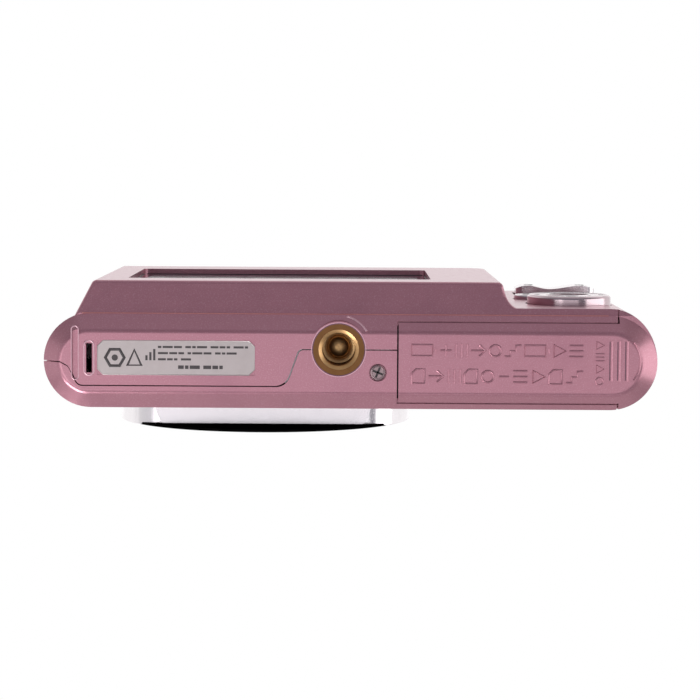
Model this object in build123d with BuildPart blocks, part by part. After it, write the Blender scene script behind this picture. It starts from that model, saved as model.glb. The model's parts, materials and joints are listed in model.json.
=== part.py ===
from build123d import *
import math
import os

# Compact digital camera, in millimetres. The camera stands on its flat underside (z = 0), the lens
# looks along -Y, the display along +Y, and the battery door and shutter button are at the -X end.

# ---- driving dimensions ----
WIDTH = 98.0
HEIGHT = 58.0
WALL = 1.3
END_R = 7.55  # radius of the rounded ends, seen from above
END_X = WIDTH / 2 - END_R  # centres of the rounded ends
END_Y = -0.5
FRONT_Y = END_Y - END_R
BAND_DEPTH = 2.6  # sloping band round the underside and the top, measured inwards
BAND_HEIGHT = 2.3
BAND_EDGE_R = 1.2  # softens the edge between the flat underside or top and its band
FACE_Y = 12.25  # display face, as far behind the origin as the lens plate is in front of it
PANEL_Y = 8.15  # control panel beside the display
BLOCK_X = -24.2  # edge of the display block towards the control panel
CORNER_R = 5.5  # upper corner of the display block on that side
CORNER_DROP = 0.9  # how far that corner starts below the top band
CORNER_FACE_RX = 5.1  # half width and half height of the corner's outline at the display face
CORNER_FACE_RZ = 5.4
CORNER_FOOT_RX = 8.2  # and at the control panel, where it spreads
CORNER_FOOT_RZ = 6.6
BLOCK_TOE_X = -26.5  # where the block's side runs out onto the control panel
PANEL_BULGE = PANEL_Y - END_Y  # half depth of the fuller rear corner of the grip end
FLANK_Y = END_Y + END_R
FLANK_SLOPE = 0.173  # rise of the flanks of the display block, per mm backwards
GAP = 0.18  # visible gap between fixed covers
BUTTON_GAP = 0.2

LENS_X = 14.4
LENS_Z = 29.0
LENS_FRONT = -12.25
PLATE_T = 0.4
DRUM_R = 24.5
DRUM_RIM = 0.4  # silver rim round the black plate
DRUM_FLAT_Z = 14.3
DRUM_DRAFT = 0.25  # the flat rises by this much towards the case
DRUM_CORNER_R = 6.0  # between the flat under the drum and its round side
TUBE_R = 12.4  # outer telescoping tube
INNER_R = 10.1  # inner telescoping tube
TUBE_GAP = 0.3

SOCKET_X = 1.91
SOCKET_Y = 1.55
SOCKET_R = 4.15
SOCKET_BORE_R = 3.2
SOCKET_BORE_L = 6.8
SOCKET_L = 8.2
COLLAR_R = 4.5  # collar of the case round the socket, at its lip
COLLAR_FOOT_R = 4.75
COLLAR_H = 2.6

DOOR_X = -7.6  # inner edge of the battery door
CAP_X = -42.8  # where the full-depth end cap of the door starts
DOOR_FRONT = -6.9
DOOR_REAR = 5.85
CAP_TOP = 3.4
DOOR_GAP = 0.25
HINGE_X = -47.7
HINGE_Z = 2.9
KNUCKLE_R = 0.7
PIN_R = 0.35

BATTERY = (-41.2, -9.2, -5.75, 0.15, 2.2, 42.0)  # x0, x1, y0, y1, z0, z1
CARD = (-37.0, -13.0, 1.3, 3.4, 2.4, 34.4)
BOARD_Y = 4.1  # button board behind the control panel
SWITCH_T = 0.8
STEM_Y = 6.0  # where the stems of the rear buttons end

NAV_X = -36.0
NAV_Z = 17.0
NAV_R = 6.9
ROCKER_X = -35.9
ROCKER_Z = 46.0
ROCKER_W = 13.8
ROCKER_H = 6.5
MENU_X = -30.3
PLAYBACK_X = -40.5
BUTTON_Z = 30.0
BUTTON_R = 2.5

SHUTTER_X = -34.0
SHUTTER_W = 11.0
SHUTTER_D = 6.4
POWER_X = -18.5
TOP_Y = -0.7  # parting line of the top, and centre of the buttons on it

WINDOW = (-13.0, 36.3, 11.0, 44.0)  # x0, x1, z0, z1 of the display opening
FLASH = (-28.0, -16.0, 44.2, 50.2)

os.makedirs("parts", exist_ok=True)


# ---- helpers ----
def save(piece, name):
    """Label a finished piece and write its STEP file."""
    piece.part.label = name
    export_step(piece.part, f"parts/{name}.step")


def facing(y):
    """Plane square to Y at depth y, drawn in X and Z. Extruding by a positive amount goes forwards."""
    return Plane.XZ.offset(-y)


def box(x0, x1, y0, y1, z0, z1):
    """Plain rectangular solid between two corners."""
    with BuildPart() as solid:
        with BuildSketch(Plane.XY.offset(z0)):
            with Locations(((x0 + x1) / 2, (y0 + y1) / 2)):
                Rectangle(x1 - x0, y1 - y0)
        extrude(amount=z1 - z0)
    return solid.part


def disc(x, z, radius, y0, y1, bore=0.0):
    """Disc or ring round the Y direction, from depth y0 back to y1."""
    with BuildPart() as solid:
        with BuildSketch(facing(y0)):
            with Locations((x, z)):
                Circle(radius)
                if bore > 0:
                    Circle(bore, mode=Mode.SUBTRACT)
        extrude(amount=-(y1 - y0))
    return solid.part


def pillar(x, y, radius, z0, z1, bore=0.0):
    """Disc or ring round the Z direction."""
    with BuildPart() as solid:
        with BuildSketch(Plane.XY.offset(z0)):
            with Locations((x, y)):
                Circle(radius)
                if bore > 0:
                    Circle(bore, mode=Mode.SUBTRACT)
        extrude(amount=z1 - z0)
    return solid.part


def rod(y0, y1, x, z, radius):
    """Round rod along Y."""
    return disc(x, z, radius, y0, y1)


def pill(x, y, width, depth, z0, z1):
    """Round-ended block, standing on the XY plane at z0."""
    with BuildPart() as solid:
        with BuildSketch(Plane.XY.offset(z0)):
            with Locations((x, y)):
                SlotOverall(width, depth)
        extrude(amount=z1 - z0)
    return solid.part


# ---- the case as one volume ----
def main_volume(inset):
    """Round-ended block with sloping bands at the bottom and the top."""
    with BuildPart() as volume:
        with BuildSketch(Plane.XY.offset(inset)):
            with Locations((0, END_Y)):
                SlotOverall(WIDTH - 2 * inset, 2 * (END_R - inset))
        extrude(amount=HEIGHT - 2 * inset)
        rims = volume.edges().group_by(Axis.Z)
        top_face = volume.faces().sort_by(Axis.Z)[-1]
        bottom_face = volume.faces().sort_by(Axis.Z)[0]
        band_scale = 1 - 0.24 * inset
        chamfer(rims[0], BAND_DEPTH * band_scale, BAND_HEIGHT * band_scale, reference=bottom_face)
        rims = volume.edges().group_by(Axis.Z)
        chamfer(rims[-1], BAND_DEPTH * band_scale, BAND_HEIGHT * band_scale, reference=top_face)
        if inset == 0:
            soft = volume.edges().group_by(Axis.Z)
            fillet(soft[0] + soft[-1], BAND_EDGE_R)
    return volume.part


def block_corner_cutter(inset):
    """What lies outside the rounded upper corner of the display block, on the control panel side."""
    centre_x = BLOCK_X + CORNER_R
    centre_z = HEIGHT - BAND_HEIGHT - CORNER_DROP - CORNER_R
    with BuildPart() as cutter:
        add(box(-32, centre_x, PANEL_Y - inset, FACE_Y + 1, centre_z, HEIGHT))
        with BuildPart(mode=Mode.SUBTRACT):
            with BuildSketch(facing(FACE_Y + 1)):
                with Locations((centre_x, centre_z)):
                    Ellipse(CORNER_FACE_RX - inset, CORNER_FACE_RZ - inset)
            with BuildSketch(facing(PANEL_Y - 1 - inset)):
                with Locations((centre_x, centre_z)):
                    Ellipse(CORNER_FOOT_RX - inset, CORNER_FOOT_RZ - inset)
            loft()
    return cutter.part


def rear_volume(inset):
    """Display block and control panel, which stand proud of the rounded block."""
    with BuildPart() as volume:
        with BuildSketch(Plane.XY):
            with BuildLine():
                Polyline(
                    (-END_X, PANEL_Y - inset),
                    (BLOCK_TOE_X + 0.3 * inset, PANEL_Y - inset),
                )
                Bezier(
                    (BLOCK_TOE_X + 0.3 * inset, PANEL_Y - inset),
                    (BLOCK_X - 0.6 + 0.8 * inset, PANEL_Y + 0.5 - inset),
                    (BLOCK_X + inset, FACE_Y - inset),
                )
                Polyline(
                    (BLOCK_X + inset, FACE_Y - inset),
                    (41.2 - inset, FACE_Y - inset),
                    (44.2 - 1.2 * inset, 6.4 - inset),
                    (43.6 - 1.2 * inset, 3.0),
                    (-END_X + 6, 3.0),
                    (-END_X, END_Y),
                    (-END_X - END_R + inset, END_Y),
                )
                EllipticalCenterArc(
                    (-END_X, END_Y), END_R - inset, PANEL_BULGE - inset, start_angle=90, arc_size=90
                )
            make_face()
        extrude(amount=HEIGHT)
        if inset == 0:
            corner = volume.edges().filter_by(Axis.Z).sort_by(Axis.Y)[-2:]
            fillet(corner, 0.9)
        low = BAND_HEIGHT + inset * 1.02
        run = FACE_Y + 1 - FLANK_Y
        with BuildSketch(Plane.YZ.offset(-WIDTH / 2 - 1)):
            with BuildLine():
                Polyline(
                    (-3, low),
                    (FLANK_Y, low),
                    (FLANK_Y + run, low + run * FLANK_SLOPE),
                    (FLANK_Y + run, HEIGHT - low - run * FLANK_SLOPE),
                    (FLANK_Y, HEIGHT - low),
                    (-3, HEIGHT - low),
                    close=True,
                )
            make_face()
        extrude(amount=WIDTH + 2, mode=Mode.INTERSECT)
        if inset == 0:
            rim = volume.faces().sort_by(Axis.Y)[-1].edges()
            fillet(rim, 0.6)
        add(block_corner_cutter(inset), mode=Mode.SUBTRACT)
    return volume.part


main_outer = main_volume(0)
main_inner = main_volume(WALL)
rear_outer = rear_volume(0)
rear_inner = rear_volume(WALL)


def socket_collar():
    """Sloping collar that carries the socket where the band falls away behind it."""
    with BuildPart() as collar:
        with BuildSketch(Plane.XY):
            with Locations((SOCKET_X, SOCKET_Y)):
                Circle(COLLAR_R)
        with BuildSketch(Plane.XY.offset(COLLAR_H)):
            with Locations((SOCKET_X, SOCKET_Y)):
                Circle(COLLAR_FOOT_R)
        loft()
        add(box(-20, 20, -10, FLANK_Y, -1, 5), mode=Mode.INTERSECT)
    return collar.part


def case_wall():
    """Whole case as one skin, before it is divided into front and rear shells and door."""
    with BuildPart() as wall:
        add(main_outer)
        add(rear_outer)
        add(socket_collar())
        add(main_inner, mode=Mode.SUBTRACT)
        add(rear_inner, mode=Mode.SUBTRACT)
    return wall.part


def front_zone(shift):
    """Everything in front of the parting surface, moved back by shift."""
    with BuildPart() as zone:
        with BuildSketch(Plane.XY.offset(-1)):
            with BuildLine():
                FilletPolyline(
                    (60, TOP_Y + shift),
                    (46.2, TOP_Y + shift),
                    (44.9, -1.4 + shift),
                    (43.4 - 0.6 * shift, -4.45 + shift),
                    (10.2 + shift, -4.45 + shift),
                    (8.1 + shift, 1.45 + shift),
                    (-8.4, 1.45 + shift),
                    (-12.0, TOP_Y + shift),
                    (-60, TOP_Y + shift),
                    (-60, -20),
                    (60, -20),
                    radius=(0, 0.8, 0.8, 1.2, 2.4, 0.9, 0.8, 0.8, 0, 0, 0),
                    close=True,
                )
            make_face()
        extrude(amount=HEIGHT / 2 + 1)
        add(box(-60, 60, -20, TOP_Y + shift, HEIGHT / 2, HEIGHT + 3))
    return zone.part


def door_zone(gap):
    """Space of the battery door: a plate and a full-depth end cap, grown by gap."""
    with BuildPart() as zone:
        add(box(CAP_X - 1, DOOR_X + gap, DOOR_FRONT - gap, DOOR_REAR + gap, -1, BAND_HEIGHT + 0.2))
        add(box(-WIDTH / 2 - 5, CAP_X + gap, -20, 20, -1, CAP_TOP + gap))
    return zone.part


wall_part = case_wall()
front_space = front_zone(0)
front_space_grown = front_zone(GAP)
door_space_grown = door_zone(DOOR_GAP)
hinge_relief = box(-WIDTH / 2 - 5, HINGE_X + 1.3, END_Y - 4.4, END_Y + 4.4, -1, HINGE_Z + 1.5)

SCREW_HEAD_R = 1.25
SCREW_HOLE_R = 1.42
BOTTOM_SCREW = (-4.33, -2.06)
END_SCREWS = ((1, 13.0), (1, 46.0), (-1, 13.0), (-1, 46.0))  # end of the camera, height
END_SCREW_Y = 1.0
END_SCREW_X = 47.75


def end_screw_hole(side, z):
    """Stepped hole along X through the end wall of the rear shell."""
    with BuildPart() as hole:
        with BuildSketch(Plane.YZ.offset(side * END_SCREW_X)):
            with Locations((END_SCREW_Y, z)):
                Circle(SCREW_HOLE_R)
        extrude(amount=side * 3)
        with BuildSketch(Plane.YZ.offset(side * (END_SCREW_X + 1))):
            with Locations((END_SCREW_Y, z)):
                Circle(0.85)
        extrude(amount=-side * 3)
    return hole.part


PORT_Z = (17.0, 38.0)
PORT_Y = (-3.8, 2.4)
PORT_DEPTH = 0.8


def end_skin(inner_r, outer_r, y0, y1, z0, z1):
    """Patch of the rounded +X end between two radii."""
    with BuildPart() as skin:
        add(pillar(END_X, END_Y, outer_r, z0, z1, bore=inner_r))
        add(box(END_X + 3, END_X + 12, y0, y1, z0, z1), mode=Mode.INTERSECT)
    return skin.part


port_recess = end_skin(END_R - PORT_DEPTH - 0.2, END_R + 1, *PORT_Y, *PORT_Z)
port_hole = box(45, 50, -2.1, 1.1, 24.0, 32.0)
socket_hole = pillar(SOCKET_X, SOCKET_Y, SOCKET_R + 0.05, -1, 6)
shutter_hole = pill(SHUTTER_X, TOP_Y, SHUTTER_W + 2 * BUTTON_GAP, SHUTTER_D + 2 * BUTTON_GAP, 55, 60)
power_hole = pill(POWER_X, TOP_Y, 6.4, 3.4, 55, 60)
strap_window = box(46, 50, -2.8, 1.8, 3.2, 6.2)


def window_block(gap, y0, y1):
    """Round-cornered block of the display opening, smaller by gap all round."""
    with BuildPart() as block:
        with BuildSketch(facing(y0)):
            with Locations(((WINDOW[0] + WINDOW[1]) / 2, (WINDOW[2] + WINDOW[3]) / 2)):
                RectangleRounded(WINDOW[1] - WINDOW[0] - 2 * gap, WINDOW[3] - WINDOW[2] - 2 * gap, 1.0 - gap)
        extrude(amount=-(y1 - y0))
    return block.part


# ---- front shell ----
with BuildPart() as front_shell:
    add(wall_part)
    add(front_space, mode=Mode.INTERSECT)
    add(door_space_grown, mode=Mode.SUBTRACT)
    add(hinge_relief, mode=Mode.SUBTRACT)
    add(disc(LENS_X, LENS_Z, TUBE_R + 2.4, -10, -5), mode=Mode.SUBTRACT)
    add(box(FLASH[0], FLASH[1], -10, -5, FLASH[2], FLASH[3]), mode=Mode.SUBTRACT)
    add(disc(-13.2, 50.6, 1.6, -10, -5), mode=Mode.SUBTRACT)
    add(socket_hole, mode=Mode.SUBTRACT)
    add(shutter_hole, mode=Mode.SUBTRACT)
    add(power_hole, mode=Mode.SUBTRACT)
    add(port_recess, mode=Mode.SUBTRACT)
    add(port_hole, mode=Mode.SUBTRACT)
    add(strap_window, mode=Mode.SUBTRACT)
    add(pillar(*BOTTOM_SCREW, SCREW_HOLE_R, -1, 0.95), mode=Mode.SUBTRACT)
    add(pillar(*BOTTOM_SCREW, 0.85, -1, 3), mode=Mode.SUBTRACT)
save(front_shell, "front_shell")

# ---- rear shell ----
LABEL = (15.26, 40.2, -2.61, 2.83)
with BuildPart() as rear_shell:
    add(wall_part)
    add(front_space_grown, mode=Mode.SUBTRACT)
    add(door_space_grown, mode=Mode.SUBTRACT)
    add(hinge_relief, mode=Mode.SUBTRACT)
    add(socket_hole, mode=Mode.SUBTRACT)
    add(shutter_hole, mode=Mode.SUBTRACT)
    add(power_hole, mode=Mode.SUBTRACT)
    add(port_recess, mode=Mode.SUBTRACT)
    add(port_hole, mode=Mode.SUBTRACT)
    add(strap_window, mode=Mode.SUBTRACT)
    # display opening and the openings of the control panel
    add(window_block(0, 9, 14), mode=Mode.SUBTRACT)
    add(disc(NAV_X, NAV_Z, NAV_R + 0.25, 5, 10), mode=Mode.SUBTRACT)
    for button_x in (MENU_X, PLAYBACK_X):
        add(disc(button_x, BUTTON_Z, BUTTON_R + BUTTON_GAP, 5, 10), mode=Mode.SUBTRACT)
    rocker_cut = box(
        ROCKER_X - ROCKER_W / 2 - 0.3,
        ROCKER_X + ROCKER_W / 2 + 0.3,
        5,
        10,
        ROCKER_Z - ROCKER_H / 2 - BUTTON_GAP,
        ROCKER_Z + ROCKER_H / 2 + BUTTON_GAP,
    )
    add(rocker_cut, mode=Mode.SUBTRACT)
    # seat of the rating label, strap slot with its softened rim, and the finger groove beside it
    add(box(LABEL[0] - 0.06, LABEL[1] + 0.06, LABEL[2] - 0.06, LABEL[3] + 0.06, -1, 0.15), mode=Mode.SUBTRACT)
    add(pill(41.54, 0.02, 0.96, 0.95, -1, 5), mode=Mode.SUBTRACT)
    add(box(41.065, 42.015, -2.31, 2.34, -1, 5), mode=Mode.SUBTRACT)
    add(box(40.85, 42.23, 2.2, 2.75, -1, 0.25), mode=Mode.SUBTRACT)
    add(box(43.28, 44.28, -3.4, 4.56, -1, 0.45), mode=Mode.SUBTRACT)
    add(pillar(43.78, 4.56, 0.5, -1, 0.45), mode=Mode.SUBTRACT)
    # sound holes in the top
    for column in range(5):
        add(pillar(22.0 + 2.0 * column, 1.6, 0.5, 55, 60), mode=Mode.SUBTRACT)
    for column in range(2):
        add(pillar(3.0 + 1.8 * column, 1.6, 0.4, 55, 60), mode=Mode.SUBTRACT)
    for side, screw_z in END_SCREWS:
        add(end_screw_hole(side, screw_z), mode=Mode.SUBTRACT)
save(rear_shell, "rear_shell")

# ---- tripod socket, its bracket and the label ----
with BuildPart() as tripod_socket:
    add(pillar(SOCKET_X, SOCKET_Y, SOCKET_R, 0.05, SOCKET_L))
    add(pillar(SOCKET_X, SOCKET_Y, SOCKET_BORE_R, -1, 0.05 + SOCKET_BORE_L), mode=Mode.SUBTRACT)
save(tripod_socket, "tripod_socket")

with BuildPart() as tripod_bracket:
    add(box(-6.6, 10.5, -5.2, 4.2, WALL + 0.4, WALL + 1.2))
    add(pillar(SOCKET_X, SOCKET_Y, SOCKET_R + 0.1, 0, 4), mode=Mode.SUBTRACT)
    add(pillar(*BOTTOM_SCREW, 0.8, 0, 4), mode=Mode.SUBTRACT)
save(tripod_bracket, "tripod_bracket")

with BuildPart() as rating_label:
    with BuildSketch(Plane.XY.offset(0.02)):
        with Locations(((LABEL[0] + LABEL[1]) / 2, (LABEL[2] + LABEL[3]) / 2)):
            label_outline = Rectangle(LABEL[1] - LABEL[0], LABEL[3] - LABEL[2])
        chamfer(label_outline.vertices(), 0.9)
    extrude(amount=0.12)
save(rating_label, "rating_label")


# ---- case screws: one below, two in each end ----
def screw(place):
    """Cross-recess screw: head upwards along the plane's normal, its top on the plane."""
    with BuildPart() as solid:
        with BuildSketch(place):
            Circle(SCREW_HEAD_R)
        extrude(amount=-0.62)
        with BuildSketch(place.offset(-0.62)):
            Circle(0.7)
        extrude(amount=-3.0)
        with BuildSketch(place):
            Rectangle(1.7, 0.34)
            Rectangle(0.34, 1.7)
        extrude(amount=-0.45, mode=Mode.SUBTRACT)
    return solid.part


with BuildPart() as case_screws:
    add(screw(Plane(origin=(*BOTTOM_SCREW, 0.25), x_dir=(1, 0.4, 0), z_dir=(0, 0, -1))))
    for side, screw_z in END_SCREWS:
        head_x = side * (END_SCREW_X + 0.7)
        add(screw(Plane(origin=(head_x, END_SCREW_Y, screw_z), x_dir=(0, 1, 0.3), z_dir=(side, 0, 0))))
save(case_screws, "case_screws")

# ---- lens: fixed drum and housing ----
with BuildPart() as lens_drum:
    with BuildSketch(facing(FRONT_Y)):
        with Locations((LENS_X, LENS_Z)):
            Circle(DRUM_R)
        with Locations((LENS_X, DRUM_FLAT_Z - 20)):
            Rectangle(80, 40, mode=Mode.SUBTRACT)
    extrude(amount=FRONT_Y - LENS_FRONT)
    fillet(lens_drum.edges().filter_by(Axis.Y), DRUM_CORNER_R)
    fillet(lens_drum.faces().sort_by(Axis.Y)[0].edges(), DRUM_RIM * 0.7)
    add(disc(LENS_X, LENS_Z, DRUM_R - DRUM_RIM, -20, LENS_FRONT + PLATE_T), mode=Mode.SUBTRACT)
    add(disc(LENS_X, LENS_Z, TUBE_R + TUBE_GAP, -20, 0), mode=Mode.SUBTRACT)
    with BuildSketch(Plane.YZ.offset(LENS_X - 30)):
        with BuildLine():
            Polyline(
                (LENS_FRONT + DRUM_RIM, DRUM_FLAT_Z),
                (FRONT_Y, DRUM_FLAT_Z + DRUM_DRAFT),
                (FRONT_Y, 0),
                (LENS_FRONT + DRUM_RIM, 0),
                close=True,
            )
        make_face()
    extrude(amount=60, mode=Mode.SUBTRACT)
save(lens_drum, "lens_drum")

with BuildPart() as lens_front_plate:
    add(disc(LENS_X, LENS_Z, DRUM_R - DRUM_RIM - 0.05, LENS_FRONT, LENS_FRONT + PLATE_T, bore=TUBE_R + 2.0))
save(lens_front_plate, "lens_front_plate")

with BuildPart() as lens_trim_ring:
    add(disc(LENS_X, LENS_Z, TUBE_R + 1.95, LENS_FRONT, LENS_FRONT + PLATE_T, bore=TUBE_R + TUBE_GAP))
save(lens_trim_ring, "lens_trim_ring")

HOUSING_REAR = 0.2
GLASS_R = 6.2
with BuildPart() as lens_housing:
    add(disc(LENS_X, LENS_Z, TUBE_R + 2.2, FRONT_Y + 0.05, HOUSING_REAR, bore=TUBE_R + TUBE_GAP))
    add(disc(LENS_X, LENS_Z, TUBE_R + 2.2, HOUSING_REAR - 0.8, HOUSING_REAR, bore=4.9))
save(lens_housing, "lens_housing")

# ---- lens: the two tubes that extend, with their glass ----
with BuildPart() as lens_outer_tube:
    add(disc(LENS_X, LENS_Z, TUBE_R, LENS_FRONT + 0.3, -1.2, bore=INNER_R + TUBE_GAP))
    fillet(lens_outer_tube.faces().sort_by(Axis.Y)[0].outer_wire().edges(), 0.4)
save(lens_outer_tube, "lens_outer_tube")

with BuildPart() as lens_inner_tube:
    add(disc(LENS_X, LENS_Z, INNER_R, LENS_FRONT + 0.15, -1.6, bore=8.9))
    add(disc(LENS_X, LENS_Z, 9.3, LENS_FRONT + 0.15, LENS_FRONT + 1.1, bore=7.9))
    add(disc(LENS_X, LENS_Z, 9.3, LENS_FRONT + 1.1, LENS_FRONT + 5.2, bore=GLASS_R + 0.1))
    add(disc(LENS_X, LENS_Z, 8.0, LENS_FRONT + 4.6, LENS_FRONT + 5.2, bore=GLASS_R - 1))
    fillet(lens_inner_tube.faces().sort_by(Axis.Y)[0].outer_wire().edges(), 0.4)
save(lens_inner_tube, "lens_inner_tube")


def lens_element(radius, front_y, edge_t, front_sag, rear_sag):
    """Round lens: flat edge, spherical front and rear, turned about the lens axis."""
    front_edge = front_y + front_sag
    rear_edge = front_edge + edge_t
    rear_y = rear_edge + rear_sag
    front_r = (radius**2 + front_sag**2) / (2 * front_sag)
    rear_r = (radius**2 + rear_sag**2) / (2 * rear_sag)
    half = radius / 2
    with BuildPart() as glass:
        with BuildSketch(Plane.XY):
            with BuildLine():
                Line((0, front_y), (0, rear_y))
                ThreePointArc(
                    (0, rear_y), (half, rear_y - rear_r + math.sqrt(rear_r**2 - half**2)), (radius, rear_edge)
                )
                Line((radius, rear_edge), (radius, front_edge))
                ThreePointArc(
                    (radius, front_edge), (half, front_y + front_r - math.sqrt(front_r**2 - half**2)), (0, front_y)
                )
            make_face()
        revolve(axis=Axis.Y)
    return Pos(LENS_X, 0, LENS_Z) * glass.part


with BuildPart() as front_lens_element:
    add(lens_element(GLASS_R, LENS_FRONT + 0.9, 1.2, 1.6, 0.4))
save(front_lens_element, "front_lens_element")

with BuildPart() as rear_lens_element:
    add(lens_element(4.8, -0.9, 0.5, 0.35, 0.25))
save(rear_lens_element, "rear_lens_element")

# ---- sensor and boards ----
with BuildPart() as ir_filter:
    add(box(LENS_X - 5.5, LENS_X + 5.5, 0.4, 0.65, LENS_Z - 4.8, LENS_Z + 4.8))
save(ir_filter, "ir_filter")

with BuildPart() as image_sensor:
    add(box(LENS_X - 6.2, LENS_X + 6.2, 0.7, 1.5, LENS_Z - 5.4, LENS_Z + 5.4))
save(image_sensor, "image_sensor")

with BuildPart() as sensor_board:
    add(box(LENS_X - 13, LENS_X + 13, 1.55, 2.15, LENS_Z - 11, LENS_Z + 11))
save(sensor_board, "sensor_board")

with BuildPart() as chassis_frame:
    add(box(-6.5, 34.0, 2.45, 2.85, 10.0, 52.0))
    for hole_z in (16.0, 46.0):
        for hole_x in (0.0, 28.0):
            add(rod(2.0, 3.2, hole_x, hole_z, 1.5), mode=Mode.SUBTRACT)
save(chassis_frame, "chassis_frame")

with BuildPart() as main_board:
    add(box(-6.5, 40.0, 3.2, 4.0, 10.0, 52.0))
    add(box(4.0, 18.0, 4.0, 5.2, 24.0, 38.0))
    add(box(22.0, 32.0, 4.0, 5.0, 26.0, 40.0))
    add(box(24.0, 31.0, 4.0, 4.9, 14.0, 21.0))
save(main_board, "main_board")

# ---- display ----
with BuildPart() as display_window:
    add(window_block(0.05, 10.4, 11.35))
save(display_window, "display_window")

with BuildPart() as display_panel:
    add(box(WINDOW[0] - 1.2, WINDOW[1] + 1.2, 7.2, 10.3, WINDOW[2] - 1.2, WINDOW[3] + 1.2))
save(display_panel, "display_panel")

with BuildPart() as display_bracket:
    add(box(WINDOW[0] - 3.0, WINDOW[1] + 2.2, 6.4, 7.0, 8.0, 47.0))
    add(box(2.0, 22.0, 6.2, 7.2, 20.0, 36.0), mode=Mode.SUBTRACT)
save(display_bracket, "display_bracket")

# ---- flash and lamp ----
with BuildPart() as flash_window:
    add(box(FLASH[0] + 0.1, FLASH[1] - 0.1, FRONT_Y + 0.1, FRONT_Y + 1.0, FLASH[2] + 0.1, FLASH[3] - 0.1))
save(flash_window, "flash_window")

with BuildPart() as flash_reflector:
    add(box(FLASH[0] - 0.4, FLASH[1] + 0.4, -6.6, -2.2, FLASH[2] - 0.6, FLASH[3] + 0.6))
    add(box(FLASH[0], FLASH[1], -6.9, -3.0, FLASH[2], FLASH[3]), mode=Mode.SUBTRACT)
save(flash_reflector, "flash_reflector")

with BuildPart() as flash_tube:
    with BuildSketch(Plane.YZ.offset(FLASH[0] + 0.5)):
        with Locations((-4.4, (FLASH[2] + FLASH[3]) / 2)):
            Circle(0.9)
    extrude(amount=FLASH[1] - FLASH[0] - 1.0)
save(flash_tube, "flash_tube")

with BuildPart() as flash_capacitor:
    add(pillar(37.2, -1.6, 4.2, 12.0, 38.0))
save(flash_capacitor, "flash_capacitor")

with BuildPart() as focus_lamp:
    add(disc(-13.2, 50.6, 1.5, FRONT_Y + 0.1, -5.6))
save(focus_lamp, "focus_lamp")

# ---- sound, motor and USB socket ----
with BuildPart() as speaker:
    add(pillar(26.0, -0.4, 4.3, 52.6, 55.6))
save(speaker, "speaker")

with BuildPart() as microphone:
    add(pillar(3.9, 0.9, 2.2, 54.4, 56.5))
save(microphone, "microphone")

with BuildPart() as zoom_motor:
    add(pillar(-4.2, -3.2, 2.6, 44.0, 53.5))
    add(pillar(-4.2, -3.2, 0.5, 41.5, 44.0))
save(zoom_motor, "zoom_motor")

with BuildPart() as usb_socket:
    add(box(42.4, 46.9, -2.0, 1.0, 24.1, 31.9))
    add(box(43.2, 47.0, -1.6, 0.6, 24.5, 31.5), mode=Mode.SUBTRACT)
save(usb_socket, "usb_socket")

# ---- battery, card and their housings ----
with BuildPart() as battery:
    add(box(*BATTERY))
    fillet(battery.edges().filter_by(Axis.Z), 1.2)
save(battery, "battery")

BOX_GAP = 0.1
BOX_T = 0.5
with BuildPart() as battery_box:
    x0, x1, y0, y1, z0, z1 = BATTERY
    grow = BOX_GAP + BOX_T
    add(box(x0 - grow, x1 + grow, y0 - grow, y1 + grow, z0 + 1.2, z1 + 1.4))
    add(
        box(x0 - BOX_GAP, x1 + BOX_GAP, y0 - BOX_GAP, y1 + BOX_GAP, z0, z1 + 0.9),
        mode=Mode.SUBTRACT,
    )
save(battery_box, "battery_box")

with BuildPart() as battery_contacts:
    for blade in range(3):
        blade_x = BATTERY[0] + 4.0 + 3.0 * blade
        add(box(blade_x, blade_x + 1.2, -4.2, -1.4, BATTERY[5] + 0.1, BATTERY[5] + 0.7))
save(battery_contacts, "battery_contacts")

with BuildPart() as memory_card:
    with BuildSketch(facing(CARD[2])):
        with BuildLine():
            Polyline(
                (CARD[0], CARD[4]),
                (CARD[1], CARD[4]),
                (CARD[1], CARD[5]),
                (CARD[0] + 4, CARD[5]),
                (CARD[0], CARD[5] - 4),
                close=True,
            )
        make_face()
    extrude(amount=-(CARD[3] - CARD[2]))
save(memory_card, "memory_card")

with BuildPart() as card_socket:
    add(box(CARD[0] - 0.5, CARD[1] + 0.5, CARD[2] - 0.4, CARD[3] + 0.4, 9.0, CARD[5] + 1.0))
    add(
        box(CARD[0] - 0.1, CARD[1] + 0.1, CARD[2] - 0.1, CARD[3] + 0.1, 8.0, CARD[5] + 0.4),
        mode=Mode.SUBTRACT,
    )
save(card_socket, "card_socket")


# ---- door guide, sliding carrier, hinge pin and battery door ----
def t_section(half_web, half_flange, z_foot, z_web, z_top, x0, x1):
    """T-shaped bar along X: a web from z_foot up to z_web and a flange above it."""
    with BuildPart() as bar:
        with BuildSketch(Plane.YZ.offset(x0)):
            with Locations((END_Y, (z_foot + z_web) / 2)):
                Rectangle(2 * half_web, z_web - z_foot)
            with Locations((END_Y, (z_web + z_top) / 2)):
                Rectangle(2 * half_flange, z_top - z_web)
        extrude(amount=x1 - x0)
    return bar.part


GUIDE_END = BATTERY[0] - BOX_GAP - BOX_T
with BuildPart() as door_guide:
    add(box(-46.2, GUIDE_END, END_Y - 3.3, END_Y + 3.3, 3.25, 6.2))
    add(t_section(1.12, 2.32, 3.0, 4.58, 5.42, -47.0, GUIDE_END + 1), mode=Mode.SUBTRACT)
save(door_guide, "door_guide")

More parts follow.
